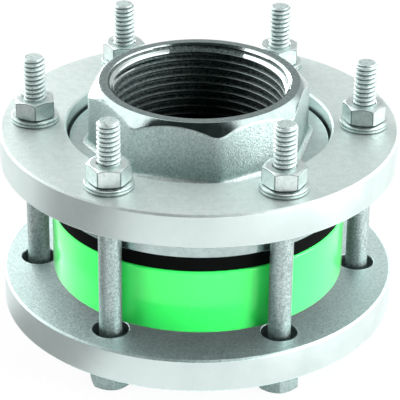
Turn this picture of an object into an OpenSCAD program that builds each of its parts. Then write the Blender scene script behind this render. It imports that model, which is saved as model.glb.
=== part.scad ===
// Flanged union for a plastic pipe. A tapped metal insert and a moulded pipe stub
// are drawn together on a flat gasket by two loose flanges and a ring of bolts.
// Millimetres, +Z up, origin on the ground under the middle of the bolt heads.

/* [Threaded port] */
// Major diameter of the pipe thread, G 1 1/2
thread_d = 47.8; // [44:0.1:60]
// Pitch of the pipe thread, 11 turns to the inch
thread_pitch = 2.309; // [1.2:0.001:3.2]
// How far the mouth is opened outside the thread
mouth_relief = 0.1; // [0.05:0.05:0.6]
// Width of the flat rim around the mouth
rim_w = 2.4; // [1.5:0.1:5]
// Height of the rim over the upper flange
boss_rise = 12.4; // [9:0.1:30]
// Number of wrench flats on the boss
boss_sides = 8; // [6:2:8]
// How far the wrench flats stand outside the rim
flat_step = 1.1; // [0.5:0.1:4]
// Radius of the cast corners between the flats
boss_corner_round = 5; // [1:0.5:10]
// Steepness of the turned chamfer under the rim, fall over run
chamfer_slope = 1.1; // [0.6:0.05:1.8]
// Turn of the boss from the first bolt, degrees
boss_turn = 10.3; // [0:0.1:45]
// Size of the cast fillet at the foot of the boss
boss_fillet = 0.9; // [0.4:0.1:1.8]

/* [Insert body] */
// Width of the ledge outside the corners of the boss
ledge_w = 4.95; // [2:0.05:12]
// Depth of the ledge under the face of the upper flange
ledge_drop = 3.8; // [1:0.1:7]
// Thickness of the collar of the insert
insert_collar_t = 10; // [5:0.5:16]
// Thickness of the stop ring under the thread
stop_t = 7.65; // [3:0.05:12]
// Chamfer on the turned edges of the insert
insert_chamfer = 0.4; // [0.2:0.1:1]

/* [Pipe stub] */
// Diameter of the water way
flow_d = 40; // [25:1:43]
// Mouth diameter of the socket, for a 50 mm pipe
socket_d = 49.4; // [45:0.1:60]
// Thickness of the shoulder that stops the pipe
shoulder_t = 9.35; // [4:0.05:14]
// Thickness of the collar of the stub
stub_collar_t = 18; // [10:0.5:30]
// Rounding of the moulded edges
stub_round = 0.8; // [0.3:0.1:2]
// Height of the end of the stub over the ground
stub_lift = 1; // [0.5:0.1:3]

/* [Gasket] */
// Thickness of the gasket
gasket_t = 4; // [2:0.5:8]
// How far the gasket stays back from the edge of the collars
gasket_inset = 0.25; // [0.1:0.05:2]
// How far the gasket stays back from the water way
gasket_bore_inset = 1; // [0.2:0.1:4]

/* [Flanges] */
// Thickness of each flange
flange_t = 9.25; // [8:0.25:16]
// Play around the insert and the stub in the flange bores
bore_play = 0.7; // [0.3:0.1:1.5]
// How far the collars reach out over the flange faces
collar_reach = 4.25; // [2:0.25:10]
// Width of the flange outside the bolt circle
flange_edge = 9.2; // [8:0.1:20]
// Chamfer on the edges of the flanges
flange_chamfer = 0.5; // [0.2:0.1:2]

/* [Bolts, nuts and washers] */
// Number of bolts
bolt_count = 6; // [3:1:8]
// Thread size of the bolts
bolt_d = 6; // [5:0.5:8]
// Play around a bolt in the flange holes
hole_play = 1.75; // [0.5:0.05:2]
// Gap between the collars and the bolts
bolt_gap = 1.05; // [0.6:0.05:6]
// Width of a nut or head outside its bolt, measured to the flats
hex_wall = 2; // [1.5:0.1:3]
// Height of a bolt head
head_h = 5; // [3:0.1:8]
// Height of a nut
nut_h = 5; // [3:0.1:8]
// How far the bolts stand out of the nuts
bolt_out = 11.3; // [2:0.1:20]
// Threaded length of a bolt
bolt_thread_l = 18; // [10:1:30]
// Width of a washer outside the flange hole
washer_land = 1.5; // [1:0.1:3]
// Thickness of a washer
washer_t = 1.6; // [0.8:0.1:3]
// Play around a bolt in its washers
washer_play = 0.2; // [0.1:0.05:0.6]

/* [Hidden] */
$fn = 96;
cut = 1;                    // how far a cutting shape runs past a face
depth_share = 0.64;         // depth of a pipe thread, share of its pitch
flank_angle = 27.5;         // slope of its flanks, degrees
first_turn = 0.75;          // centre of the lowest groove over the stop ring, in pitches
nut_fit = 0.05;             // radial gap between a nut and its bolt
corner_steps = 6;           // straight pieces in a rounded corner of the boss
edge_steps = 5;             // straight pieces in a rounded edge of the stub
fillet_sink = 0.3;          // how far the fillet of the boss starts inside the ledge
fillet_blend = 0.05;        // how far its upper edge ends inside the flats
hex_slope = tan(30);        // fall over run of the chamfer on nuts and heads
hex_face = 0.95;            // turned face of a nut or head, share of its flats
head_face_h = 0.3;          // height of the turned face that a head bears on
tip_chamfer = 0.7;          // chamfer at the tip of a bolt
shank_relief = 0.1;         // how far the plain shank stays inside the thread size
washer_edge = 0.2;          // broken edge of a washer
gasket_edge = 0.2;          // rounded edge of the gasket
nut_turns = [51, 27, 2, 37, 4, 4];        // as the nuts happen to stand, degrees
head_turns = [10, 50, 25, 5, 45, 35];     // as the heads happen to stand, degrees

// Levels from the ground up
lower_washer_z = head_h;
lower_flange_z = lower_washer_z + washer_t;
stub_collar_z = lower_flange_z + flange_t;
gasket_z = stub_collar_z + stub_collar_t;
insert_z = gasket_z + gasket_t;
upper_flange_z = insert_z + insert_collar_t;
upper_face_z = upper_flange_z + flange_t;
upper_washer_z = upper_face_z;
nut_z = upper_washer_z + washer_t;
bolt_top_z = nut_z + nut_h + bolt_out;
socket_z = gasket_z - shoulder_t;
thread_z = insert_z + stop_t;
ledge_z = upper_face_z - ledge_drop;
rim_z = upper_face_z + boss_rise;

// Radii from the port outwards
flow_r = flow_d / 2;
thread_r = thread_d / 2;
thread_depth = depth_share * thread_pitch;
thread_flat = thread_pitch / 2 - thread_depth * tan(flank_angle);
tapped_r = thread_r - thread_depth;
mouth_r = thread_r + mouth_relief;
mouth_fall = mouth_r - tapped_r;
thread_turns = floor((rim_z - mouth_fall - thread_z) / thread_pitch - first_turn + 0.5);
rim_r = mouth_r + rim_w;
flat_r = rim_r + flat_step;
corner_centre_r = (flat_r - boss_corner_round) / cos(180 / boss_sides);
corner_r = corner_centre_r + boss_corner_round;
spigot_r = corner_r + ledge_w;
flange_bore_r = spigot_r + bore_play;
collar_r = flange_bore_r + collar_reach;
bolt_circle_r = collar_r + bolt_gap + bolt_d / 2;
flange_r = bolt_circle_r + flange_edge;

// Sizes around one bolt
hole_r = bolt_d / 2 + hole_play;
washer_r = hole_r + washer_land;
washer_hole_r = bolt_d / 2 + washer_play;
hex_r = bolt_d / 2 + hex_wall;
hex_corner_r = hex_r / cos(30);
hex_fall = (hex_corner_r - hex_r * hex_face) * hex_slope;

bolts = [for (i = [1:bolt_count]) i];

cast_steel = [0.72, 0.77, 0.76];
flange_steel = [0.80, 0.84, 0.83];
bright_zinc = [0.88, 0.91, 0.90];
green_plastic = [0.30, 0.93, 0.43];
black_rubber = [0.07, 0.08, 0.08];

function turn_of(turns, i) = turns[(i - 1) % len(turns)];

// Points along an arc about a centre, from one angle to another
function arc(centre, r, from, to, steps) =
    [for (s = [0:steps]) let(a = from + (to - from) * s / steps) centre + r * [cos(a), sin(a)]];

// Outline of the boss, flats with rounded corners
function boss_outline() =
    let(half = 180 / boss_sides)
    [for (k = [0:boss_sides - 1]) let(a = 2 * half * k)
        each arc(corner_centre_r * [cos(a), sin(a)], boss_corner_round, a - half, a + half, corner_steps)];

// Section of a ring with all four edges broken
function ring_section(r_in, r_out, z_low, z_high, edge) =
    [[r_in + edge, z_low], [r_out - edge, z_low], [r_out, z_low + edge], [r_out, z_high - edge],
     [r_out - edge, z_high], [r_in + edge, z_high], [r_in, z_high - edge], [r_in, z_low + edge]];

module ring(r_in, r_out, z_low, z_high, edge) {
    rotate_extrude() polygon(ring_section(r_in, r_out, z_low, z_high, edge));
}

// Sets its children on the bolt circle, at bolt i
module at_bolt(i) {
    rotate([0, 0, (i - 1) * 360 / bolt_count]) translate([bolt_circle_r, 0, 0]) children();
}

// Loose flange: a plain ring with one clearance hole for each bolt
module flange(z) {
    difference() {
        ring(flange_bore_r, flange_r, z, z + flange_t, flange_chamfer);
        for (i = bolts)
            at_bolt(i) translate([0, 0, z - cut]) cylinder(r = hole_r, h = flange_t + 2 * cut);
    }
}

module upper_flange() {
    color(flange_steel) flange(upper_flange_z);
}

module lower_flange() {
    color(flange_steel) flange(lower_flange_z);
}

// Cast boss with wrench flats; the turned chamfer leaves a scallop on each flat
module boss() {
    reach = corner_r + cut;
    turned = [[0, thread_z], [reach, thread_z], [reach, rim_z - (reach - rim_r) * chamfer_slope],
              [rim_r, rim_z], [0, rim_z]];
    foot_r = flat_r + boss_fillet + fillet_sink;
    rotate([0, 0, boss_turn]) {
        intersection() {
            translate([0, 0, thread_z]) linear_extrude(rim_z - thread_z) polygon(boss_outline());
            rotate_extrude() polygon(turned);
        }
        translate([0, 0, ledge_z - fillet_sink])
            linear_extrude(boss_fillet + fillet_sink, scale = (flat_r - fillet_blend) / foot_r)
                scale(foot_r / flat_r) polygon(boss_outline());
    }
}

// Turned body of the insert: collar, and spigot that centres the upper flange
module insert_body() {
    c = insert_chamfer;
    rotate_extrude() polygon([
        [0, insert_z], [collar_r - c, insert_z], [collar_r, insert_z + c],
        [collar_r, upper_flange_z - c], [collar_r - c, upper_flange_z], [spigot_r, upper_flange_z],
        [spigot_r, ledge_z - c], [spigot_r - c, ledge_z], [0, ledge_z]]);
}

// Section of the tapped hole. The thread is cut as rings of its real depth, pitch and flanks
function tapped_section() =
    let(narrow = thread_flat / 2, wide = (thread_pitch - thread_flat) / 2)
    concat(
        [[0, thread_z], [tapped_r, thread_z]],
        [for (k = [0:thread_turns - 1]) let(z = thread_z + (first_turn + k) * thread_pitch)
            each [[tapped_r, z - wide], [thread_r, z - narrow], [thread_r, z + narrow], [tapped_r, z + wide]]],
        [[tapped_r, rim_z - mouth_fall], [mouth_r + cut, rim_z + cut], [0, rim_z + cut]]);

// Water way, tapped hole and its coned mouth
module port() {
    translate([0, 0, insert_z - cut]) cylinder(r = flow_r, h = rim_z - insert_z + 2 * cut);
    rotate_extrude() polygon(tapped_section());
}

module threaded_insert() {
    color(cast_steel) difference() {
        union() {
            insert_body();
            boss();
        }
        port();
    }
}

module gasket() {
    color(black_rubber)
        ring(flow_r + gasket_bore_inset, collar_r - gasket_inset, gasket_z, insert_z, gasket_edge);
}

// Moulded stub: collar under the gasket, neck down through the lower flange, pipe socket
module pipe_stub() {
    q = stub_round;
    neck_r = flange_bore_r - bore_play;
    socket_r = socket_d / 2;
    section = concat(
        arc([neck_r - q, stub_lift + q], q, -90, 0, edge_steps),
        [[neck_r, stub_collar_z]],
        arc([collar_r - q, stub_collar_z + q], q, -90, 0, edge_steps),
        arc([collar_r - q, gasket_z - q], q, 0, 90, edge_steps),
        arc([flow_r + q, gasket_z - q], q, 90, 180, edge_steps),
        [[flow_r, socket_z], [socket_r, socket_z]],
        arc([socket_r + q, stub_lift + q], q, 180, 270, edge_steps));
    color(green_plastic) rotate_extrude() polygon(section);
}

// Hexagon with a turned chamfer at its lower end, its upper end or both
module hexagon(h, low_fall, high_fall) {
    low_r = hex_corner_r - low_fall / hex_slope;
    high_r = hex_corner_r - high_fall / hex_slope;
    intersection() {
        cylinder(r = hex_corner_r, h = h, $fn = 6);
        rotate_extrude() polygon([[0, 0], [low_r, 0], [hex_corner_r, low_fall],
                                  [hex_corner_r, h - high_fall], [high_r, h], [0, h]]);
    }
}

module bolt(i) {
    stud_r = bolt_d / 2;
    shank_r = stud_r - shank_relief;
    thread_start = bolt_top_z - bolt_thread_l;
    color(bright_zinc) at_bolt(i) {
        rotate([0, 0, turn_of(head_turns, i)]) hexagon(head_h - head_face_h, hex_fall, 0);
        cylinder(r = hex_r * hex_face, h = head_h);
        rotate_extrude() polygon([
            [0, 0.5 * head_h], [shank_r, 0.5 * head_h], [shank_r, thread_start - shank_relief],
            [stud_r, thread_start], [stud_r, bolt_top_z - tip_chamfer],
            [stud_r - tip_chamfer, bolt_top_z], [0, bolt_top_z]]);
    }
}

module nut(i) {
    color(bright_zinc) at_bolt(i) translate([0, 0, nut_z]) rotate([0, 0, turn_of(nut_turns, i)])
        difference() {
            hexagon(nut_h, hex_fall, hex_fall);
            translate([0, 0, -cut]) cylinder(r = bolt_d / 2 + nut_fit, h = nut_h + 2 * cut);
        }
}

module washer(i, z) {
    color(bright_zinc) at_bolt(i) ring(washer_hole_r, washer_r, z, z + washer_t, washer_edge);
}

upper_flange();
lower_flange();
threaded_insert();
gasket();
pipe_stub();
for (i = bolts) {
    bolt(i);
    nut(i);
    washer(i, upper_washer_z);
    washer(i, lower_washer_z);
}
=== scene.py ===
import math

import bmesh
import bpy
from mathutils import Matrix, Vector


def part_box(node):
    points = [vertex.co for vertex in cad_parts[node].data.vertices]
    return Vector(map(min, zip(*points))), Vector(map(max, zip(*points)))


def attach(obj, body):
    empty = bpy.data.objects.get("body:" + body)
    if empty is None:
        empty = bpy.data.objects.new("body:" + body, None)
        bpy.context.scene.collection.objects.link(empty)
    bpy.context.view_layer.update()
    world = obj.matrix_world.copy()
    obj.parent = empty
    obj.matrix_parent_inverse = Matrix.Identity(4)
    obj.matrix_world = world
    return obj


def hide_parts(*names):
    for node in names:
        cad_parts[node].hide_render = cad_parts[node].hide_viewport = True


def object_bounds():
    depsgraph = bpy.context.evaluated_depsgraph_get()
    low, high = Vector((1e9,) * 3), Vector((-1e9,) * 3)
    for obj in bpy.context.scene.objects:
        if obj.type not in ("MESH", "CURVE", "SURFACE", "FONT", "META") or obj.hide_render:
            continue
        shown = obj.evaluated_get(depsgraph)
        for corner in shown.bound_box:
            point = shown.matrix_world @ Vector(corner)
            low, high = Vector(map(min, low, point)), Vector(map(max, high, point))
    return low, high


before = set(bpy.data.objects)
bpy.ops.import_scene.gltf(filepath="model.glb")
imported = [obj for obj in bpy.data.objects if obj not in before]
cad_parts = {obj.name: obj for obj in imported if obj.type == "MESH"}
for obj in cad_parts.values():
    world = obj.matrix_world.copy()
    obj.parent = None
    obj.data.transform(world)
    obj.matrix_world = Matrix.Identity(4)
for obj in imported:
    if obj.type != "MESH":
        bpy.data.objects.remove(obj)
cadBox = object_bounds()
mm = 0.001
full = 2 * math.pi
names = sorted(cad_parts)
groundZ = cadBox[0][2]
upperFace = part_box("upper_flange")[1].z      # the camera and the boss are set from here


def addObject(name, data):
    thing = bpy.data.objects.new(name, data)
    bpy.context.scene.collection.objects.link(thing)
    return thing


# Camera, at the photograph's viewing angle

cameraView = {
    "sensor": 36,             # mm wide
    "lens": 180.61,           # mm
    "nearest": 10 * mm,
    "back": 478.16 * mm,      # level distance from the axis
    "rise": 228.59 * mm,      # over the upper flange's face
    "turn": 0.68,             # degrees round the axis, from the front
    "pitch": 27.78,           # degrees down
    "yaw": 0.06,              # degrees to the right
    "roll": 0.70,
}


def placeCamera(view):
    data = bpy.data.cameras.new("photoCamera")
    data.sensor_width = view["sensor"]
    data.lens = view["lens"]
    data.clip_start = view["nearest"]
    camera = addObject("photoCamera", data)
    place = Matrix.Rotation(math.radians(view["turn"]), 4, "Z")
    place = place @ Matrix.Translation((0, -view["back"], upperFace + view["rise"]))
    place = place @ Matrix.Rotation(math.radians(-view["yaw"]), 4, "Z")
    place = place @ Matrix.Rotation(math.radians(90 - view["pitch"]), 4, "X")
    camera.matrix_world = place @ Matrix.Rotation(math.radians(view["roll"]), 4, "Z")
    bpy.context.scene.camera = camera


placeCamera(cameraView)
bpy.context.scene.view_settings.view_transform = "Standard"
print("camera placed")


# Small helpers for material trees

def startMaterial(name):
    material = bpy.data.materials.new(name)
    material.use_nodes = True
    tree = material.node_tree
    shader = tree.nodes["Principled BSDF"]
    where = tree.nodes.new("ShaderNodeTexCoord").outputs["Object"]
    return material, tree, shader, where


def feed(tree, socket, value):      # a socket is linked, anything else is set
    if isinstance(value, bpy.types.NodeSocket):
        tree.links.new(value, socket)
    else:
        socket.default_value = value


def noiseValue(tree, where, size, detail=3.0, roughness=0.5):
    noise = tree.nodes.new("ShaderNodeTexNoise")
    noise.inputs["Scale"].default_value = 1 / size
    noise.inputs["Detail"].default_value = detail
    noise.inputs["Roughness"].default_value = roughness
    tree.links.new(where, noise.inputs["Vector"])
    return noise.outputs["Fac"]


def mapValue(tree, value, fromLow, fromHigh, toLow, toHigh):
    node = tree.nodes.new("ShaderNodeMapRange")
    node.interpolation_type = "SMOOTHSTEP"
    node.inputs["From Min"].default_value = fromLow
    node.inputs["From Max"].default_value = fromHigh
    node.inputs["To Min"].default_value = toLow
    node.inputs["To Max"].default_value = toHigh
    tree.links.new(value, node.inputs["Value"])
    return node.outputs["Result"]


def mathValue(tree, operation, first, second=0.0):
    node = tree.nodes.new("ShaderNodeMath")
    node.operation = operation
    feed(tree, node.inputs[0], first)
    feed(tree, node.inputs[1], second)
    return node.outputs[0]


def mixNumber(tree, share, first, second):
    step = mathValue(tree, "MULTIPLY", share, mathValue(tree, "SUBTRACT", second, first))
    return mathValue(tree, "ADD", step, first)


def mixColour(tree, factor, first, second):
    node = tree.nodes.new("ShaderNodeMix")
    node.data_type = "RGBA"
    tree.links.new(factor, node.inputs["Factor"])
    for socket, colour in ((node.inputs[6], first), (node.inputs[7], second)):      # the colours A and B
        feed(tree, socket, (*colour, 1) if isinstance(colour, tuple) else colour)
    return node.outputs[2]


def bumpNormal(tree, height, distance, normal=None):
    bump = tree.nodes.new("ShaderNodeBump")
    bump.inputs["Distance"].default_value = distance
    bump.inputs["Strength"].default_value = 1.0
    tree.links.new(height, bump.inputs["Height"])
    if normal is not None:
        tree.links.new(normal, bump.inputs["Normal"])
    return bump.outputs["Normal"]


def coordinate(tree, where, axis):
    split = tree.nodes.new("ShaderNodeSeparateXYZ")
    tree.links.new(where, split.inputs[0])
    return split.outputs[axis]


def axisDistance(tree, where):
    flat = tree.nodes.new("ShaderNodeVectorMath")
    flat.operation = "MULTIPLY"
    flat.inputs[1].default_value = (1, 1, 0)
    tree.links.new(where, flat.inputs[0])
    length = tree.nodes.new("ShaderNodeVectorMath")
    length.operation = "LENGTH"
    tree.links.new(flat.outputs["Vector"], length.inputs[0])
    return length.outputs["Value"]


def turningMarks(tree, where, step):      # fine grooves round the axis, on faces, walls and cones alike
    path = mathValue(tree, "SUBTRACT", axisDistance(tree, where), coordinate(tree, where, "Z"))
    noise = tree.nodes.new("ShaderNodeTexNoise")
    noise.noise_dimensions = "1D"
    noise.inputs["Scale"].default_value = 1 / step
    noise.inputs["Detail"].default_value = 2.0
    tree.links.new(path, noise.inputs["W"])
    return noise.outputs["Fac"]


# Metal finishes: every look below is fed to metalFinish, some with a mark of their own

steelTint = {"red": 0.76, "redGain": 0.17, "blue": 0.975}      # shares of the green channel
mottleNoise = (4.0, 0.6)      # detail and roughness
speckleNoise = (2.0, 0.7)
grainNoise = (3.0, 0.6)
toneSpan = (0.35, 0.65)       # where in the mottle the tone changes from dark to light
dullSpan = (0.3, 0.7)         # and the roughness from low to high
speckleSpan = 0.12


def steelTone(value, warmth=1.0):      # a cool grey, greener where it is darker
    red = steelTint["red"] + steelTint["redGain"] * value ** 2
    return value * red * warmth, value, value * steelTint["blue"]


def metalFinish(name, look, mark=None):
    material, tree, shader, where = startMaterial(name)
    shader.inputs["Metallic"].default_value = look.get("metallic", 1.0)
    mottle = noiseValue(tree, where, look["mottleSize"], *mottleNoise)
    speckle = noiseValue(tree, where, look["speckleSize"], *speckleNoise)
    share = mapValue(tree, mottle, *toneSpan, 0, 1)
    warmth = look.get("warmth", 1.0)
    tone = mixColour(tree, share, steelTone(look["dark"], warmth), steelTone(look["light"], warmth))
    spots = mapValue(tree, speckle, look["speckleFrom"], look["speckleFrom"] + speckleSpan,
                     0, look["speckleMix"])
    tone = mixColour(tree, spots, tone, steelTone(look["speckle"]))
    if mark:
        tone = mark(tree, where, tone, look)
    tree.links.new(tone, shader.inputs["Base Color"])
    tree.links.new(mapValue(tree, mottle, *dullSpan, *look["roughness"]), shader.inputs["Roughness"])
    grain = noiseValue(tree, where, look["grainSize"], *grainNoise)
    normal = bumpNormal(tree, grain, look["grainDepth"])
    if "turnStep" in look:
        marks = turningMarks(tree, where, look["turnStep"])
        normal = bumpNormal(tree, marks, look["turnDepth"], normal)
    tree.links.new(normal, shader.inputs["Normal"])
    return material


def contactShadowLine(tree, where, tone, look):      # painted contact shadow: a dark line where the piece stands on the next one
    line = mapValue(tree, coordinate(tree, where, "Z"), look["shadowBase"] + look["shadowSolid"],
                    look["shadowBase"] + look["shadowReach"], look["shadowShare"], 0)
    return mixColour(tree, line, tone, steelTone(look["shadowTone"]))


flangeLook = {      # faces of the upper flange: blasted, light and even
    "light": 0.93, "dark": 0.88, "mottleSize": 1.8 * mm,
    "speckle": 0.55, "speckleSize": 0.45 * mm, "speckleFrom": 0.56, "speckleMix": 0.45,
    "roughness": (0.56, 0.60), "grainSize": 0.4 * mm, "grainDepth": 0.04 * mm,
}
lowerFlangeLook = {      # faces of the lower flange: a coarser grain
    "light": 1.0, "dark": 0.86, "warmth": 0.90, "mottleSize": 0.7 * mm,
    "speckle": 0.34, "speckleSize": 0.45 * mm, "speckleFrom": 0.57, "speckleMix": 0.5,
    "roughness": (0.46, 0.56), "grainSize": 0.6 * mm, "grainDepth": 0.10 * mm,
}
flangeRimLook = {      # turned rims of both flanges
    "light": 0.82, "dark": 0.77, "mottleSize": 12 * mm,
    "speckle": 0.60, "speckleSize": 0.8 * mm, "speckleFrom": 0.62, "speckleMix": 0.2,
    "roughness": (0.34, 0.40), "grainSize": 1.5 * mm, "grainDepth": 0.008 * mm,
    "turnStep": 0.5 * mm, "turnDepth": 0.004 * mm,
}
castLook = {      # flats of the boss, as cast
    "metallic": 0.8, "light": 0.73, "dark": 0.54, "mottleSize": 0.6 * mm,
    "speckle": 0.14, "speckleSize": 0.34 * mm, "speckleFrom": 0.54, "speckleMix": 0.48,
    "roughness": (0.30, 0.36), "grainSize": 0.45 * mm, "grainDepth": 0.14 * mm,
}
turnedLook = {      # chamfer, spigot and collar of the insert
    "light": 0.60, "dark": 0.52, "mottleSize": 3 * mm,
    "speckle": 0.32, "speckleSize": 0.5 * mm, "speckleFrom": 0.62, "speckleMix": 0.4,
    "roughness": (0.12, 0.18), "grainSize": 0.6 * mm, "grainDepth": 0.015 * mm,
    "turnStep": 0.35 * mm, "turnDepth": 0.004 * mm,
}
rimFaceLook = {      # face of the boss, turned more coarsely
    "light": 0.40, "dark": 0.32, "mottleSize": 1.2 * mm,
    "speckle": 0.24, "speckleSize": 0.4 * mm, "speckleFrom": 0.58, "speckleMix": 0.5,
    "roughness": (0.22, 0.32), "grainSize": 0.5 * mm, "grainDepth": 0.02 * mm,
    "turnStep": 0.3 * mm, "turnDepth": 0.006 * mm,
}
zincLook = {      # bright zinc on nuts and washers
    "light": 0.91, "dark": 0.79, "mottleSize": 1.2 * mm,
    "speckle": 0.38, "speckleSize": 0.35 * mm, "speckleFrom": 0.57, "speckleMix": 0.5,
    "roughness": (0.28, 0.40), "grainSize": 0.7 * mm, "grainDepth": 0.04 * mm,
}
boltLook = {      # galvanised bolts
    "light": 0.69, "dark": 0.45, "mottleSize": 0.6 * mm,
    "speckle": 0.12, "speckleSize": 0.4 * mm, "speckleFrom": 0.55, "speckleMix": 0.65,
    "roughness": (0.42, 0.54), "grainSize": 0.4 * mm, "grainDepth": 0.03 * mm,
}
ledgeLook = dict(flangeLook, light=0.74, dark=0.64, roughness=(0.36, 0.46))      # round the boss, smoother
footHighlightLook = dict(castLook, light=1.0, dark=0.80, speckleMix=0.35, grainDepth=0.10 * mm)      # its foot: a painted highlight, brighter than the flats
mouthLook = dict(turnedLook, light=0.88, dark=0.80, speckleMix=0.25)
shadedHeadLook = dict(boltLook, light=0.44, dark=0.32, metallic=0.6, roughness=(0.32, 0.40))      # duller, and darker as painted shade under the flange
threadLook = dict(boltLook, light=0.83, dark=0.70, metallic=0.75, roughness=(0.42, 0.52))      # brighter
tipLook = dict(boltLook, light=0.84, dark=0.74, roughness=(0.6, 0.7))
# painted contact shadow at the feet of the nuts and the upper washers
contactShadowLook = {"shadowSolid": 0.15 * mm, "shadowReach": 0.4 * mm, "shadowShare": 0.85, "shadowTone": 0.04}
nutLook = {**zincLook, **contactShadowLook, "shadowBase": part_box("nut_1")[0].z}
washerLook = {**zincLook, **contactShadowLook, "shadowBase": upperFace, "shadowSolid": 0.1 * mm}

flangeSteel = metalFinish("flangeSteel", flangeLook)
lowerFlangeSteel = metalFinish("lowerFlangeSteel", lowerFlangeLook)
rimSteel = metalFinish("rimSteel", flangeRimLook)
ledgeSteel = metalFinish("ledgeSteel", ledgeLook)
castSteel = metalFinish("castSteel", castLook)
footHighlightSteel = metalFinish("footHighlightSteel", footHighlightLook)
turnedSteel = metalFinish("turnedSteel", turnedLook)
rimFaceSteel = metalFinish("rimFaceSteel", rimFaceLook)
mouthSteel = metalFinish("mouthSteel", mouthLook)
brightZinc = metalFinish("brightZinc", zincLook)
nutZinc = metalFinish("nutZinc", nutLook, contactShadowLine)
washerZinc = metalFinish("washerZinc", washerLook, contactShadowLine)
# painted shade: dark lines on the nuts' corners and under their chamfers, and round the upper washers
shadeLineZinc = metalFinish("shadeLineZinc", dict(zincLook, light=0.40, dark=0.26))
galvanisedZinc = metalFinish("galvanisedZinc", boltLook)
shadedHeadZinc = metalFinish("shadedHeadZinc", shadedHeadLook)
threadZinc = metalFinish("threadZinc", threadLook)
# painted shade for the bottoms of the bolt threads
grooveShadeZinc = metalFinish("grooveShadeZinc", dict(threadLook, light=0.34, dark=0.24))
tipZinc = metalFinish("tipZinc", tipLook)


portThreadLook = {      # dark flanks; the crests carry a painted highlight, strongest on the right, and the thread a painted shade deep in the port
    "light": 0.26, "dark": 0.09, "mottleSize": 0.7 * mm,
    "speckle": 0.34, "speckleSize": 0.35 * mm, "speckleFrom": 0.58, "speckleMix": 0.5,
    "roughness": (0.38, 0.50), "grainSize": 0.4 * mm, "grainDepth": 0.05 * mm,
    "crest": 0.85, "crestRadius": 22.422 * mm, "crestDepth": 0.15 * mm,
    "crestShadeSide": -4 * mm, "crestLitSide": 20 * mm, "crestShadeShare": 0.14,
    # deep is the colour of the painted shade deep in the port
    "deep": 0.004, "portShadeShare": 0.05, "portShadeHeight": 44 * mm, "portUnshadedHeight": 64 * mm,
}


def crestHighlightAndPortShade(tree, where, tone, look):      # painted highlight on the crests, stronger to the right, and painted shade that darkens the thread deep in the port
    # painted highlight: the crests brighten from the left side to the right
    side = mapValue(tree, coordinate(tree, where, "X"), look["crestShadeSide"], look["crestLitSide"],
                    look["crestShadeShare"], 1)
    crest = mapValue(tree, axisDistance(tree, where), look["crestRadius"],
                     look["crestRadius"] + look["crestDepth"], 1, 0)
    tone = mixColour(tree, mathValue(tree, "MULTIPLY", crest, side), tone, steelTone(look["crest"]))
    # painted shade: the thread darkens towards the bottom of the port
    height = mapValue(tree, coordinate(tree, where, "Z"), look["portShadeHeight"], look["portUnshadedHeight"],
                      look["portShadeShare"], 1)
    return mixColour(tree, height, steelTone(look["deep"]), tone)


cutThread = metalFinish("portThreadSteel", portThreadLook, crestHighlightAndPortShade)


greenPlasticLook = {
    "deep": (0.028, 0.86, 0.112), "clear": (0.036, 0.92, 0.130), "mottleSize": 12 * mm,
    "roughness": (0.20, 0.28), "ripple": 4 * mm, "rippleDepth": 0.004 * mm,
    "shader": {
        "IOR": 1.42, "Sheen Weight": 0.65, "Sheen Roughness": 0.3,
        "Coat Weight": 0.8, "Coat Roughness": 0.12,
    },
}


def greenFinish(look):
    material, tree, shader, where = startMaterial("greenPlastic")
    mottle = noiseValue(tree, where, look["mottleSize"])
    tree.links.new(mixColour(tree, mottle, look["deep"], look["clear"]), shader.inputs["Base Color"])
    tree.links.new(mapValue(tree, mottle, *dullSpan, *look["roughness"]), shader.inputs["Roughness"])
    for name, value in look["shader"].items():
        shader.inputs[name].default_value = value
    ripple = noiseValue(tree, where, look["ripple"], detail=2.0)
    tree.links.new(bumpNormal(tree, ripple, look["rippleDepth"]), shader.inputs["Normal"])
    return material


rubberLook = {
    "black": (0.001, 0.0015, 0.0012), "worn": (0.003, 0.004, 0.0035), "roughness": (0.55, 0.7),
    "grain": 0.6 * mm, "grainDepth": 0.02 * mm, "specular": 0.03,
}


def rubberFinish(look):
    material, tree, shader, where = startMaterial("blackRubber")
    grain = noiseValue(tree, where, look["grain"], detail=4.0, roughness=0.65)
    tree.links.new(mixColour(tree, grain, look["black"], look["worn"]), shader.inputs["Base Color"])
    tree.links.new(mapValue(tree, grain, *dullSpan, *look["roughness"]), shader.inputs["Roughness"])
    shader.inputs["Specular IOR Level"].default_value = look["specular"]
    tree.links.new(bumpNormal(tree, grain, look["grainDepth"]), shader.inputs["Normal"])
    return material


greenPlastic = greenFinish(greenPlasticLook)
blackRubber = rubberFinish(rubberLook)
print("finishes made")


# Meshes that go round an axis: each row is (radius, height), or a function of the angle that gives them

weldDistance = 0.002 * mm
thinnest = 0.0005 * mm
mostReach = 0.45      # the share of a side that a rounded corner may take
onAxis = Vector((0, 0, 0))


def addRings(grid, rows, columns, centre=onAxis, loop=False):      # returns the first and the last ring
    rings = []
    for row in rows:
        ring = []
        for i in range(columns):
            angle = full * i / columns
            radius, height = row(angle) if callable(row) else row
            place = centre + Vector((radius * math.cos(angle), radius * math.sin(angle), height))
            ring.append(grid.verts.new(place))
        rings.append(ring)
    uppers = rings[1:] + rings[:1] if loop else rings[1:]
    for lower, upper in zip(rings, uppers):
        for i in range(columns):
            k = (i + 1) % columns
            grid.faces.new((lower[i], lower[k], upper[k], upper[i]))
    return rings[0], rings[-1]


def wrapRows(rows, columns, loop=False):
    grid = bmesh.new()
    addRings(grid, rows, columns, loop=loop)
    return grid


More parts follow.
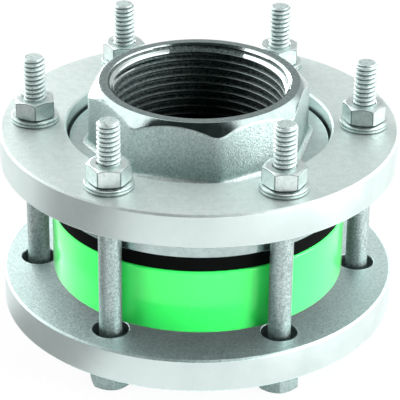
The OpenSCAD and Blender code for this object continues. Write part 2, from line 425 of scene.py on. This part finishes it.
def roundedProfile(points, radius, steps=3, closed=True):      # rounds the corners of an outline
    result = []
    count = len(points)
    for i, point in enumerate(points):
        here = Vector(point)
        if not closed and i in (0, count - 1):
            result.append((here.x, here.y))
            continue
        before = Vector(points[i - 1]) - here
        after = Vector(points[(i + 1) % count]) - here
        if before.cross(after) == 0:
            result.append((here.x, here.y))
            continue
        half = before.angle(after) / 2
        reach = min(radius / math.tan(half), mostReach * before.length, mostReach * after.length)
        start = here + before.normalized() * reach
        end = here + after.normalized() * reach
        for s in range(steps + 1):
            t = s / steps
            curve = start * (1 - t) ** 2 + here * 2 * t * (1 - t) + end * t ** 2
            result.append((curve.x, curve.y))
    return result


def finishMesh(name, grid, materials, sharpAngle=32):
    bmesh.ops.remove_doubles(grid, verts=grid.verts, dist=weldDistance)
    bmesh.ops.dissolve_degenerate(grid, edges=grid.edges, dist=thinnest)
    bmesh.ops.recalc_face_normals(grid, faces=grid.faces)
    mesh = bpy.data.meshes.new(name)
    grid.to_mesh(mesh)
    grid.free()
    for material in materials:
        mesh.materials.append(material)
    mesh.shade_smooth()
    mesh.set_sharp_from_angle(angle=math.radians(sharpAngle))
    return addObject(name, mesh)


def addToPart(piece, nodes):
    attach(piece, "root")
    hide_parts(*nodes)


def nodesNamed(start):
    return [name for name in names if name.startswith(start)]


# The two loose flanges: turned rings with six drilled holes

flangeRing = {
    "bore": 35.004 * mm, "holeRadius": 4.75 * mm, "edge": 0.5 * mm, "holeEdge": 0.15 * mm,
    "edgeRound": 0.25 * mm, "columns": 288, "holeColumns": 48, "wallTilt": 0.1, "sharpAngle": 8,
}
boltCentre = (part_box("nut_1")[0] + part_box("nut_1")[1]) / 2      # nut 1 stands on the X axis
boltCircle = boltCentre.x
boltCount = len(nodesNamed("nut_"))
boltAngles = [full * k / boltCount for k in range(boltCount)]
boltAxes = [Vector((boltCircle * math.cos(angle), boltCircle * math.sin(angle), 0)) for angle in boltAngles]


def loopEdges(grid, loop):
    return [grid.edges.get((loop[i - 1], loop[i])) for i in range(len(loop))]


def flangeMesh(name, node, sizes, material):
    low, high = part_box(node)
    grid = bmesh.new()

    def wallRows(radius, edge, outward):
        corner = radius - edge if outward else radius + edge
        points = [(corner, low.z), (radius, low.z + edge), (radius, high.z - edge), (corner, high.z)]
        return roundedProfile(points, sizes["edgeRound"], closed=False)

    walls = [addRings(grid, wallRows(high.x, sizes["edge"], True), sizes["columns"]),
             addRings(grid, wallRows(sizes["bore"], sizes["edge"], False), sizes["columns"])]
    for axis in boltAxes:
        rows = wallRows(sizes["holeRadius"], sizes["holeEdge"], False)
        walls.append(addRings(grid, rows, sizes["holeColumns"], axis))
    for face in grid.faces:      # the walls take the turned finish, the broken edges that of the faces
        face.normal_update()
        face.material_index = 1 if abs(face.normal.z) < sizes["wallTilt"] else 0
    for end in (0, 1):
        edges = [edge for wall in walls for edge in loopEdges(grid, wall[end])]
        bmesh.ops.triangle_fill(grid, use_beauty=True, edges=edges, normal=(0, 0, 1))
    return finishMesh(name, grid, [material, rimSteel], sizes["sharpAngle"])


upperFlange = flangeMesh("upperFlange", "upper_flange", flangeRing, flangeSteel)
lowerFlange = flangeMesh("lowerFlange", "lower_flange", flangeRing, lowerFlangeSteel)
addToPart(upperFlange, ["upper_flange"])
addToPart(lowerFlange, ["lower_flange"])
print("flanges made")


# Helical thread as a Geometry Nodes tree, used for the port (inside) and for the bolts (outside)

threadInputs = {
    "Crest Radius": "Float", "Depth": "Float", "Pitch": "Float", "Start Height": "Float",
    "End Height": "Float", "End Radius": "Float", "Side": "Float", "Narrowness": "Float",
    "Columns": "Int", "Rows Per Turn": "Int", "Material": "Material",
}
spareTurns = 1.05      # the sheet of the thread slants by one turn


def startTree(name, inputs):
    tree = bpy.data.node_groups.new(name, "GeometryNodeTree")
    tree.interface.new_socket("Geometry", in_out="OUTPUT", socket_type="NodeSocketGeometry")
    for label, kind in inputs.items():
        tree.interface.new_socket(label, in_out="INPUT", socket_type="NodeSocket" + kind)
    return tree, tree.nodes.new("NodeGroupInput").outputs, tree.nodes.new("NodeGroupOutput")


def finishTree(tree, geometry, material, done):
    realize = tree.nodes.new("GeometryNodeRealizeInstances")
    tree.links.new(geometry, realize.inputs["Geometry"])
    paint = tree.nodes.new("GeometryNodeSetMaterial")
    tree.links.new(realize.outputs["Geometry"], paint.inputs["Geometry"])
    tree.links.new(material, paint.inputs["Material"])
    tree.links.new(paint.outputs["Geometry"], done.inputs["Geometry"])


def threadTree():
    tree, given, done = startTree("helicalThread", threadInputs)

    def calc(operation, first, second=0.0):
        return mathValue(tree, operation, first, second)

    def smooth(value):
        return mapValue(tree, value, 0, 1, 0, 1)

    turns = calc("DIVIDE", calc("SUBTRACT", given["End Height"], given["Start Height"]), given["Pitch"])
    rowCount = calc("CEIL", calc("MULTIPLY", calc("ADD", turns, spareTurns), given["Rows Per Turn"]))
    rowCount = calc("ADD", rowCount, 1)
    sheet = tree.nodes.new("GeometryNodeMeshGrid")
    tree.links.new(calc("ADD", given["Columns"], 1), sheet.inputs["Vertices X"])
    tree.links.new(rowCount, sheet.inputs["Vertices Y"])
    index = tree.nodes.new("GeometryNodeInputIndex").outputs[0]
    column = calc("FLOOR", calc("DIVIDE", calc("ADD", index, 0.5), rowCount))      # X is the slow direction
    row = calc("SUBTRACT", index, calc("MULTIPLY", column, rowCount))
    share = calc("DIVIDE", column, given["Columns"])
    angle = calc("MULTIPLY", share, full)
    along = calc("DIVIDE", row, given["Rows Per Turn"])
    rise = calc("SUBTRACT", calc("ADD", along, share), 1)
    rawHeight = calc("ADD", given["Start Height"], calc("MULTIPLY", rise, given["Pitch"]))
    height = calc("MINIMUM", calc("MAXIMUM", rawHeight, given["Start Height"]), given["End Height"])
    fromMiddle = calc("ABSOLUTE", calc("SUBTRACT", calc("MULTIPLY", calc("FRACT", along), 2), 1))
    wave = calc("SUBTRACT", 1, fromMiddle)
    groove = calc("MULTIPLY", calc("POWER", smooth(wave), given["Narrowness"]), smooth(rise))
    offset = calc("MULTIPLY", calc("MULTIPLY", groove, given["Depth"]), given["Side"])
    profile = calc("MULTIPLY", calc("ADD", given["Crest Radius"], offset), given["Side"])
    mouth = calc("SUBTRACT", calc("MULTIPLY", given["End Radius"], given["Side"]),
                 calc("SUBTRACT", given["End Height"], height))
    radius = calc("MULTIPLY", calc("MAXIMUM", profile, mouth), given["Side"])
    place = tree.nodes.new("ShaderNodeCombineXYZ")
    tree.links.new(calc("MULTIPLY", radius, calc("COSINE", angle)), place.inputs["X"])
    tree.links.new(calc("MULTIPLY", radius, calc("SINE", angle)), place.inputs["Y"])
    tree.links.new(height, place.inputs["Z"])
    move = tree.nodes.new("GeometryNodeSetPosition")
    tree.links.new(sheet.outputs["Mesh"], move.inputs["Geometry"])
    tree.links.new(place.outputs[0], move.inputs["Position"])
    weld = tree.nodes.new("GeometryNodeMergeByDistance")
    weld.inputs["Distance"].default_value = weldDistance
    tree.links.new(move.outputs["Geometry"], weld.inputs["Geometry"])
    finishTree(tree, weld.outputs["Geometry"], given["Material"], done)
    return tree


def runTree(tree, name, values, carrier=None):      # evaluates the tree and returns a plain mesh
    holder = addObject(name + "Holder", carrier or bpy.data.meshes.new(name + "Carrier"))
    modifier = holder.modifiers.new(tree.name, "NODES")
    modifier.node_group = tree
    for socket in tree.interface.items_tree:
        if socket.in_out == "INPUT" and socket.name in values:
            modifier[socket.identifier] = values[socket.name]
    graph = bpy.context.evaluated_depsgraph_get()
    mesh = bpy.data.meshes.new_from_object(holder.evaluated_get(graph), depsgraph=graph)
    holder.modifiers.clear()
    bpy.data.objects.remove(holder)
    mesh.name = name
    return mesh


helicalThread = threadTree()


# The insert: collar, spigot, eight-sided boss with a scalloped chamfer, and the tapped port

insertPiece = {
    "sides": 8, "flat": 27.504 * mm, "cornerRound": 5 * mm, "turn": math.radians(10.3), "columns": 384,
    "mouth": 24.0 * mm, "rim": 26.4 * mm, "rimRows": (0.35, 0.7), "lip": 0.12 * mm, "lipOut": 0.7,
    "chamferSlope": 1.1, "softEdge": 0.18 * mm, "softSpread": 2.5, "flatRows": (0.35, 0.7, 1.0),
    # the foot's painted highlight lies on the fillet between the turns given last
    "fillet": 1.9 * mm, "filletTurns": (15, 30, 45, 60, 75, 90), "highlightFillet": (30, 75),
    "ledgeDrop": 3.8 * mm, "ledgeRow": 3 * mm, "spigot": 34.304 * mm, "edge": 0.4 * mm,
    "waterWay": 20 * mm, "stopTop": 7.65 * mm, "runOut": -90,      # degrees; the thread runs out in front
    # where the first crest of the port carries a painted reflection, at its left and right sides
    "glintDepth": 3.7 * mm, "glintRadius": 23.4 * mm, "glintLeft": -8.5 * mm, "glintRight": 11.5 * mm,
    "levelWithin": 0.02 * mm, "coneWithin": 0.06 * mm,      # how near a face has to be to be known
}
portThread = {
    "Crest Radius": 22.422 * mm, "Depth": 1.478 * mm, "Pitch": 2.309 * mm, "End Radius": 24.0 * mm,
    "Side": 1.0, "Narrowness": 0.8, "Columns": insertPiece["columns"], "Rows Per Turn": 10,
}
insertFinishes = {      # the first one is on all faces that take no other
    "turned": turnedSteel, "cast": castSteel, "cut": cutThread, "ledge": ledgeSteel,
    "rimFace": rimFaceSteel, "mouth": mouthSteel, "foot": footHighlightSteel,
}
finishIndex = {key: index for index, key in enumerate(insertFinishes)}


def polygonRadius(angle, sizes):      # a corner stands at angle 0
    half = math.pi / sizes["sides"]
    corner = sizes["cornerRound"]
    fromCorner = abs((angle + half) % (2 * half) - half)
    centre = (sizes["flat"] - corner) / math.cos(half)
    flatStart = math.atan2(corner * math.sin(half), centre + corner * math.cos(half))
    if fromCorner < flatStart:
        side = centre * math.sin(fromCorner)
        return centre * math.cos(fromCorner) + math.sqrt(corner ** 2 - side ** 2)
    return sizes["flat"] / math.cos(half - fromCorner)


def insertMesh(name, sizes, thread):
    low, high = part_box("threaded_insert")
    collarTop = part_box("upper_flange")[0].z
    ledge = upperFace - sizes["ledgeDrop"]
    rimTop = high.z
    stopTop = low.z + sizes["stopTop"]
    lip = sizes["lip"]
    soft = sizes["softEdge"]
    wide = soft * sizes["softSpread"]

    def bossRadius(angle):
        return polygonRadius(angle - sizes["turn"], sizes)

    def coneHeight(radius):
        return rimTop - (radius - sizes["rim"]) * sizes["chamferSlope"]

    def onChamfer(back):      # a row on the cone, this far inside the meeting with the flats
        def row(angle):
            radius = bossRadius(angle) - back
            return radius, coneHeight(radius)
        return row

    def onFlat(drop):      # a row on the flats, this far under the meeting
        def row(angle):
            radius = bossRadius(angle)
            return radius, coneHeight(radius) - drop
        return row

    def aboveLedge(share):      # a row further down the flats, from the meeting to the fillet
        def row(angle):
            radius = bossRadius(angle)
            edge = coneHeight(radius)
            return radius, edge + (ledge + sizes["fillet"] - edge) * share
        return row

    def inFillet(turn):      # a quarter circle at the foot of the boss
        def row(angle):
            radius = bossRadius(angle) + sizes["fillet"] * (1 - math.cos(turn))
            return radius, ledge + sizes["fillet"] * (1 - math.sin(turn))
        return row

    rows = [(sizes["mouth"], rimTop - lip), (sizes["mouth"] + lip, rimTop)]
    rows += [(sizes["mouth"] + share * (sizes["rim"] - sizes["mouth"]), rimTop) for share in sizes["rimRows"]]
    rows += [(sizes["rim"] - lip, rimTop), (sizes["rim"] + lip * sizes["lipOut"], rimTop - lip)]
    rows += [onChamfer(wide), onChamfer(soft)]
    castStart = len(rows) - 1
    rows += [onFlat(soft), onFlat(wide)]
    rows += [aboveLedge(share) for share in sizes["flatRows"]]
    filletRow = {turn: len(rows) + k for k, turn in enumerate(sizes["filletTurns"])}
    rows += [inFillet(math.radians(turn)) for turn in sizes["filletTurns"]]
    castEnd = len(rows) - 1
    body = [(sizes["spigot"] - sizes["ledgeRow"], ledge), (sizes["spigot"], ledge),
            (sizes["spigot"], collarTop), (high.x, collarTop), (high.x, low.z), (sizes["waterWay"], low.z),
            (sizes["waterWay"], stopTop), (thread["Crest Radius"], stopTop)]
    rows += roundedProfile(body, sizes["edge"], steps=4, closed=False)
    grid = wrapRows(rows, sizes["columns"])
    grid.faces.ensure_lookup_table()
    # the middle of the fillet takes the painted highlight
    footStart, footEnd = (filletRow[turn] for turn in sizes["highlightFillet"])
    for start, end, finish in ((castStart, castEnd, "cast"), (footStart, footEnd, "foot")):
        for face in grid.faces[start * sizes["columns"]:end * sizes["columns"]]:
            face.material_index = finishIndex[finish]
    for face in grid.faces:
        middle = face.calc_center_median()
        if abs(middle.z - ledge) < sizes["levelWithin"] and middle.xy.length > sizes["flat"]:
            face.material_index = finishIndex["ledge"]
        if middle.z > rimTop - sizes["levelWithin"]:
            face.material_index = finishIndex["rimFace"]
    values = {**thread, "Start Height": stopTop, "End Height": rimTop - lip, "Material": turnedSteel}
    mesh = runTree(helicalThread, "portThread", values)
    mesh.transform(Matrix.Rotation(math.radians(sizes["runOut"]), 4, "Z"))
    bodyFaces = len(grid.faces)
    grid.from_mesh(mesh)
    bpy.data.meshes.remove(mesh)
    grid.faces.ensure_lookup_table()
    for face in grid.faces[bodyFaces:]:      # the coned mouth is bright, and the first crest's sides carry a painted reflection
        middle = face.calc_center_median()
        cone = thread["End Radius"] - (rimTop - lip - middle.z)
        onCone = abs(middle.xy.length - cone) < sizes["coneWithin"]
        firstCrest = middle.z > rimTop - sizes["glintDepth"] and middle.xy.length < sizes["glintRadius"]
        # painted reflection: only the first crest's left and right sides take the bright finish
        worn = middle.x < sizes["glintLeft"] or middle.x > sizes["glintRight"]
        face.material_index = finishIndex["mouth" if onCone or (firstCrest and worn) else "cut"]
    return finishMesh(name, grid, insertFinishes.values())


addToPart(insertMesh("threadedInsert", insertPiece, portThread), ["threaded_insert"])
print("insert made")


# Gasket and moulded stub

gasketRing = {"bore": 21 * mm, "edge": 0.35 * mm, "columns": 256}


def gasketMesh(name, sizes):
    low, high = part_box("gasket")
    outline = [(sizes["bore"], low.z), (high.x, low.z), (high.x, high.z), (sizes["bore"], high.z)]
    grid = wrapRows(roundedProfile(outline, sizes["edge"], steps=4), sizes["columns"], loop=True)
    return finishMesh(name, grid, [blackRubber])


stubPiece = {
    "waterWay": 20 * mm, "socket": 24.7 * mm, "neck": 34.304 * mm, "shoulder": 9.35 * mm,
    "round": 0.8 * mm, "columns": 256,
}


def stubMesh(name, sizes):
    low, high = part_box("pipe_stub")
    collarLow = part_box("lower_flange")[1].z
    socketEnd = high.z - sizes["shoulder"]
    outline = [(sizes["neck"], low.z), (sizes["neck"], collarLow), (high.x, collarLow), (high.x, high.z),
               (sizes["waterWay"], high.z), (sizes["waterWay"], socketEnd), (sizes["socket"], socketEnd),
               (sizes["socket"], low.z)]
    grid = wrapRows(roundedProfile(outline, sizes["round"], steps=5), sizes["columns"], loop=True)
    return finishMesh(name, grid, [greenPlastic])


addToPart(gasketMesh("gasketRing", gasketRing), ["gasket"])
pipeStub = stubMesh("pipeStub", stubPiece)
pipeStub.visible_glossy = False      # the metal round it stays neutral, as in the photograph
addToPart(pipeStub, ["pipe_stub"])
print("gasket and stub made")


# Fasteners: one of each is made on the axis, and a second tree sets them round the bolt circle

hexagonPart = {
    "sides": 6, "flat": 5 * mm, "cornerRound": 0.25 * mm, "faceShare": 0.95,
    "slope": math.tan(math.radians(30)), "softEdge": 0.08 * mm, "softDrop": 0.04 * mm, "sharpAngle": 30,
}
nutPart = {
    "bore": 3.05 * mm, "countersink": 3.2 * mm, "columns": 192, "turns": (51, 27, 2, 37, 4, 4),
    # where the nut's painted shade lines start, and how tall they may be
    "wallTilt": 0.2, "wallFrom": 4.5 * mm, "shadedCornerFrom": 5.68 * mm,
    "shadeLineHeight": 0.2 * mm, "shadeLineTallest": 0.3 * mm, "shadeLineFrom": 4 * mm,      # over the flange's face
}
washerPart = {
    "bore": 3.2 * mm, "edge": 0.25 * mm, "columns": 72, "wallFrom": 5 * mm, "shadeLineTop": 0.4 * mm,
    "shadeLineBottom": 0.75 * mm, "upperTurns": (0, 20, 75), "lowerTurns": (0, 35, 50),
}
boltPart = {
    "shank": 2.97 * mm, "thread": 3 * mm, "threadLength": 18 * mm, "relief": 0.3 * mm, "columns": 48,
    "faceHeight": 0.3 * mm, "turns": (10, 50, 25, 5, 45, 35), "grooveRadius": 2.62 * mm,
    "plainTip": 0.3 * mm, "tipWithin": 0.02 * mm,
}
boltThread = {
    "Crest Radius": boltPart["thread"], "Depth": 0.68 * mm, "Pitch": 1.25 * mm, "End Radius": 2.3 * mm,
    "Side": -1.0, "Narrowness": 1.7, "Columns": boltPart["columns"], "Rows Per Turn": 12,
}
faceRadius = hexagonPart["flat"] * hexagonPart["faceShare"]
softEdge = hexagonPart["softEdge"]
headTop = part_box("lower_washer_1")[0].z
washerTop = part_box("upper_washer_1")[1].z
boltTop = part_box("bolt_1")[1].z
threadStart = boltTop - boltPart["threadLength"]


def hexagonRow(end, inward, drop=0.0):      # where the cone from an end meets the flats, or past that
    def row(angle):
        radius = polygonRadius(angle, hexagonPart)
        fall = max(0, radius - faceRadius) * hexagonPart["slope"]
        return radius, end + inward * (fall + drop)
    return row


def flatRow(height):
    def row(angle):
        return polygonRadius(angle, hexagonPart), height
    return row


def hexagonEnd(end, inward):      # from the round face of an end to the flats
    dropped = end + inward * hexagonPart["softDrop"]
    return [(faceRadius - softEdge, end), (faceRadius + softEdge, dropped), hexagonRow(end, inward)]


def nutMesh():
    low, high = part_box("nut_1")
    sink = nutPart["countersink"] - nutPart["bore"]
    rows = [(nutPart["bore"], low.z + sink), (nutPart["countersink"], low.z)]
    rows += hexagonEnd(low.z, 1) + [hexagonRow(low.z, 1, softEdge)]
    rows += [hexagonRow(high.z, -1, nutPart["shadeLineHeight"])] + hexagonEnd(high.z, -1)[::-1]
    rows += [(nutPart["countersink"], high.z), (nutPart["bore"], high.z - sink)]
    return wrapRows(rows, nutPart["columns"], loop=True)


def onNutShadeLine(mesh, face, fromAxis):      # painted shade: the upright corners and a line under the chamfer are dark
    if abs(face.normal.z) > nutPart["wallTilt"] or fromAxis < nutPart["wallFrom"]:
        return False
    heights = [mesh.vertices[i].co.z for i in face.vertices]
    isFlat = max(heights) - min(heights) < nutPart["shadeLineTallest"]
    isShadeLine = isFlat and face.center.z > upperFace + nutPart["shadeLineFrom"]
    return isShadeLine or fromAxis > nutPart["shadedCornerFrom"]


def washerMesh(node):
    low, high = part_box(node)
    outer = (high.x - low.x) / 2
    outline = [(washerPart["bore"], low.z), (outer, low.z), (outer, high.z - washerPart["shadeLineBottom"]),
               (outer, high.z - washerPart["shadeLineTop"]), (outer, high.z), (washerPart["bore"], high.z)]
    return wrapRows(roundedProfile(outline, washerPart["edge"]), washerPart["columns"], loop=True)


def onWasherShadeLine(mesh, face, fromAxis):      # painted shade: a dark line round the wall, under the rounded upper edge
    drop = washerTop - face.center.z
    return fromAxis > washerPart["wallFrom"] and washerPart["shadeLineTop"] < drop < washerPart["shadeLineBottom"]


def boltMesh():
    relief = boltPart["relief"]
    bearing = headTop - boltPart["faceHeight"]
    rows = [(0, groundZ)] + hexagonEnd(groundZ, 1) + [hexagonRow(groundZ, 1, softEdge)]
    rows += [flatRow(bearing - softEdge), flatRow(bearing), (faceRadius, bearing), (faceRadius, headTop)]
    rows += [(boltPart["shank"] + relief, headTop), (boltPart["shank"], headTop + relief)]
    rows += [(boltPart["shank"], threadStart - relief), (boltPart["thread"], threadStart)]
    grid = wrapRows(rows, boltPart["columns"])
    values = {**boltThread, "Start Height": threadStart, "End Height": boltTop, "Material": galvanisedZinc}
    mesh = runTree(helicalThread, "boltThread", values)
    grid.from_mesh(mesh)
    bpy.data.meshes.remove(mesh)
    addRings(grid, [(boltThread["End Radius"], boltTop), (0, boltTop)], boltPart["columns"])
    return grid


def inShadedGroove(mesh, face, fromAxis):      # painted shade: the bottoms of the threads are dark
    inThread = threadStart < face.center.z < boltTop - boltPart["plainTip"]
    return inThread and fromAxis < boltPart["grooveRadius"]


circleInputs = {
    "Geometry": "Geometry", "Piece": "Object", "Circle Radius": "Float", "Count": "Int",
    "Material": "Material",
}


def circleTree():
    tree, given, done = startTree("boltCircle", circleInputs)
    circle = tree.nodes.new("GeometryNodeMeshCircle")
    tree.links.new(given["Count"], circle.inputs["Vertices"])
    tree.links.new(given["Circle Radius"], circle.inputs["Radius"])
    piece = tree.nodes.new("GeometryNodeObjectInfo")
    tree.links.new(given["Piece"], piece.inputs["Object"])
    index = tree.nodes.new("GeometryNodeInputIndex").outputs[0]
    turn = tree.nodes.new("GeometryNodeSampleIndex")      # the carrier's points hold the turns
    stored = tree.nodes.new("GeometryNodeInputNamedAttribute")
    stored.inputs["Name"].default_value = "turn"
    tree.links.new(given["Geometry"], turn.inputs["Geometry"])
    tree.links.new(stored.outputs["Attribute"], turn.inputs["Value"])
    tree.links.new(index, turn.inputs["Index"])
    spin = tree.nodes.new("ShaderNodeCombineXYZ")
    tree.links.new(turn.outputs["Value"], spin.inputs["Z"])
    place = tree.nodes.new("GeometryNodeInstanceOnPoints")
    tree.links.new(circle.outputs["Mesh"], place.inputs["Points"])
    tree.links.new(piece.outputs["Geometry"], place.inputs["Instance"])
    tree.links.new(spin.outputs[0], place.inputs["Rotation"])
    finishTree(tree, place.outputs["Instances"], given["Material"], done)
    return tree


boltCircleTree = circleTree()


def fastenerSet(name, grid, finishes, turns, prefix, shadeFinish=None, inShade=None):      # one for each bolt
    first = finishes[0][0]
    single = finishMesh(name + "Single", grid, [first], hexagonPart["sharpAngle"])
    carrier = bpy.data.meshes.new(name + "Carrier")
    carrier.from_pydata([(0, 0, 0)] * boltCount, [], [])
    store = carrier.attributes.new("turn", "FLOAT", "POINT")
    for k, point in enumerate(store.data):
        point.value = boltAngles[k] + math.radians(turns[k % len(turns)])
    values = {"Piece": single, "Circle Radius": boltCircle, "Count": boltCount, "Material": first}
    mesh = runTree(boltCircleTree, name, values, carrier)
    bpy.data.objects.remove(single)
    for index, (material, height) in enumerate(finishes[1:], 1):      # each holds from its height up
        mesh.materials.append(material)
        for face in mesh.polygons:
            if face.center.z > height:
                face.material_index = index
    # the painted shade finish goes on the faces that the given test picks
    if shadeFinish:
        mesh.materials.append(shadeFinish)
        for face in mesh.polygons:
            fromAxis = min((face.center.xy - axis.xy).length for axis in boltAxes)
            if inShade(mesh, face, fromAxis):
                face.material_index = len(finishes)
    addToPart(addObject(name, mesh), nodesNamed(prefix))


boltFinishes = [
    (shadedHeadZinc, groundZ), (galvanisedZinc, headTop), (threadZinc, threadStart),
    (tipZinc, boltTop - boltPart["tipWithin"]),
]
fastenerSet("boltSet", boltMesh(), boltFinishes, boltPart["turns"], "bolt_", grooveShadeZinc, inShadedGroove)
fastenerSet("nutSet", nutMesh(), [(nutZinc, groundZ)], nutPart["turns"], "nut_", shadeLineZinc, onNutShadeLine)
fastenerSet("upperWasherSet", washerMesh("upper_washer_1"), [(washerZinc, groundZ)],
            washerPart["upperTurns"], "upper_washer_", shadeLineZinc, onWasherShadeLine)
fastenerSet("lowerWasherSet", washerMesh("lower_washer_1"), [(brightZinc, groundZ)],
            washerPart["lowerTurns"], "lower_washer_")
print("fasteners made")


# Floor, world and lamps

studio = {
    "floorSize": 6.0, "floorWhite": 0.85, "floorGlow": 0.93, "floorMirrored": 1.06,
    "seenRing": (0.62, 0.78), "mirrorRing": (0.92, 1.05),      # shares of the part's radius
    "back": 0.62, "whiteFrom": 0.7, "shade": (0.72, 1, 0.96), "aimShare": 0.6,
}
floorAreas = {      # the floor's glow as the metal mirrors it, level, round the part: painted light, brighter to the right, darker to the front left
    "left": {"azimuth": 140, "height": 0, "inner": 22, "outer": 40, "strength": 1.08},
    "right": {"azimuth": 15, "height": 0, "inner": 28, "outer": 60, "strength": 1.15},
    "darkLeft": {"azimuth": 210, "height": 0, "inner": 8, "outer": 32, "strength": 0.46},
}
softAreas = {      # parts of the world, by their direction in degrees, blended in this order
    "left": {"azimuth": 165, "height": 32, "inner": 30, "outer": 46, "strength": 1.85},
    "right": {"azimuth": 0, "height": 26, "inner": 34, "outer": 46, "strength": 1.85},
    "dark": {"azimuth": -101, "height": 50, "inner": 38, "outer": 42, "strength": 0.03},
    "darkLeft": {"azimuth": -155, "height": -4, "inner": 24, "outer": 48, "strength": 0.05},
}
lamps = {      # the fills don't show in metal, which keeps its dark front
    "fillFront": {"place": (0.00, -0.85, 0.50), "size": (0.5, 0.5), "power": 0.3, "glossy": False},
    "fillLeft": {"place": (-0.85, -0.25, 0.30), "size": (0.5, 0.4), "power": 7.5, "glossy": False},
    "fillRight": {"place": (0.85, -0.30, 0.30), "size": (0.5, 0.4), "power": 11.0, "glossy": False},
    "lowRight": {"place": (0.74, -0.32, 0.06), "size": (0.8, 0.2), "power": 5.5, "glossy": True},
    "lowLeft": {"place": (-0.42, 0.68, 0.16), "size": (0.5, 0.24), "power": 3.3, "glossy": True},
}


def areaStrength(tree, direction, areas, strength):      # soft round areas, each laid over what is there
    for area in areas.values():
        azimuth = math.radians(area["azimuth"])
        height = math.radians(area["height"])
        dot = tree.nodes.new("ShaderNodeVectorMath")
        dot.operation = "DOT_PRODUCT"
        dot.inputs[1].default_value = (math.cos(azimuth) * math.cos(height),
                                       math.sin(azimuth) * math.cos(height), math.sin(height))
        tree.links.new(direction, dot.inputs[0])
        share = mapValue(tree, dot.outputs["Value"], math.cos(math.radians(area["outer"])),
                         math.cos(math.radians(area["inner"])), 0, 1)
        strength = mixNumber(tree, share, strength, area["strength"])
    return strength


def makeFloor(look, areas):      # it glows to the camera and in the metal, and is shaded paper near the part
    half = look["floorSize"] / 2
    mesh = bpy.data.meshes.new("floor")
    corners = [(x * half, y * half, groundZ) for x, y in ((-1, -1), (1, -1), (1, 1), (-1, 1))]
    mesh.from_pydata(corners, [], [(0, 1, 2, 3)])
    material = bpy.data.materials.new("paleFloor")
    material.use_nodes = True
    tree = material.node_tree
    tree.nodes.clear()
    white = look["floorWhite"]
    paper = tree.nodes.new("ShaderNodeBsdfDiffuse")
    paper.inputs["Color"].default_value = (white, white, white, 1)
    where = tree.nodes.new("ShaderNodeTexCoord").outputs["Object"]
    distance = axisDistance(tree, where)
    rays = tree.nodes.new("ShaderNodeLightPath").outputs

    def outside(ring, most):
        inner, outer = (cadBox[1][0] * share for share in ring)
        return mapValue(tree, distance, inner, outer, 0, most)

    seen = mathValue(tree, "MAXIMUM", rays["Is Camera Ray"], rays["Is Transmission Ray"])
    seen = mathValue(tree, "MULTIPLY", seen, outside(look["seenRing"], look["floorGlow"]))
    inMetal = mathValue(tree, "MULTIPLY", rays["Is Glossy Ray"], outside(look["mirrorRing"], 1))
    share = mathValue(tree, "ADD", seen, inMetal)
    outward = tree.nodes.new("ShaderNodeVectorMath")
    outward.operation = "NORMALIZE"
    tree.links.new(where, outward.inputs[0])
    mirrored = areaStrength(tree, outward.outputs["Vector"], areas, look["floorMirrored"])
    strength = mixNumber(tree, rays["Is Glossy Ray"], 1.0, mirrored)
    glow = tree.nodes.new("ShaderNodeEmission")
    tree.links.new(strength, glow.inputs["Strength"])
    blend = tree.nodes.new("ShaderNodeMixShader")
    tree.links.new(share, blend.inputs["Fac"])
    tree.links.new(paper.outputs[0], blend.inputs[1])
    tree.links.new(glow.outputs[0], blend.inputs[2])
    out = tree.nodes.new("ShaderNodeOutputMaterial")
    tree.links.new(blend.outputs[0], out.inputs["Surface"])
    mesh.materials.append(material)
    floor = addObject("floor", mesh)


def makeWorld(look, areas):      # bright at the sides, dark high in front, behind the camera
    world = bpy.data.worlds.new("studioWorld")
    bpy.context.scene.world = world
    world.use_nodes = True
    tree = world.node_tree
    tree.nodes.clear()
    direction = tree.nodes.new("ShaderNodeTexCoord").outputs["Generated"]
    background = tree.nodes.new("ShaderNodeBackground")
    strength = areaStrength(tree, direction, areas, look["back"])
    white = mapValue(tree, strength, 0, look["whiteFrom"], 0, 1)
    tree.links.new(mixColour(tree, white, look["shade"], (1, 1, 1)), background.inputs["Color"])
    tree.links.new(strength, background.inputs["Strength"])
    out = tree.nodes.new("ShaderNodeOutputWorld")
    tree.links.new(background.outputs[0], out.inputs["Surface"])


def makeLamp(name, lamp):
    data = bpy.data.lights.new(name, "AREA")
    data.shape = "RECTANGLE"
    data.size, data.size_y = lamp["size"]
    data.energy = lamp["power"]
    thing = addObject(name, data)
    place = Vector(lamp["place"])
    aim = Vector((0, 0, upperFace * studio["aimShare"])) - place
    thing.matrix_world = Matrix.Translation(place) @ aim.to_track_quat("-Z", "Y").to_matrix().to_4x4()
    thing.visible_glossy = lamp["glossy"]
    thing.visible_camera = False


makeFloor(studio, floorAreas)
makeWorld(studio, softAreas)
for name, lamp in lamps.items():
    makeLamp(name, lamp)
print("studio made")
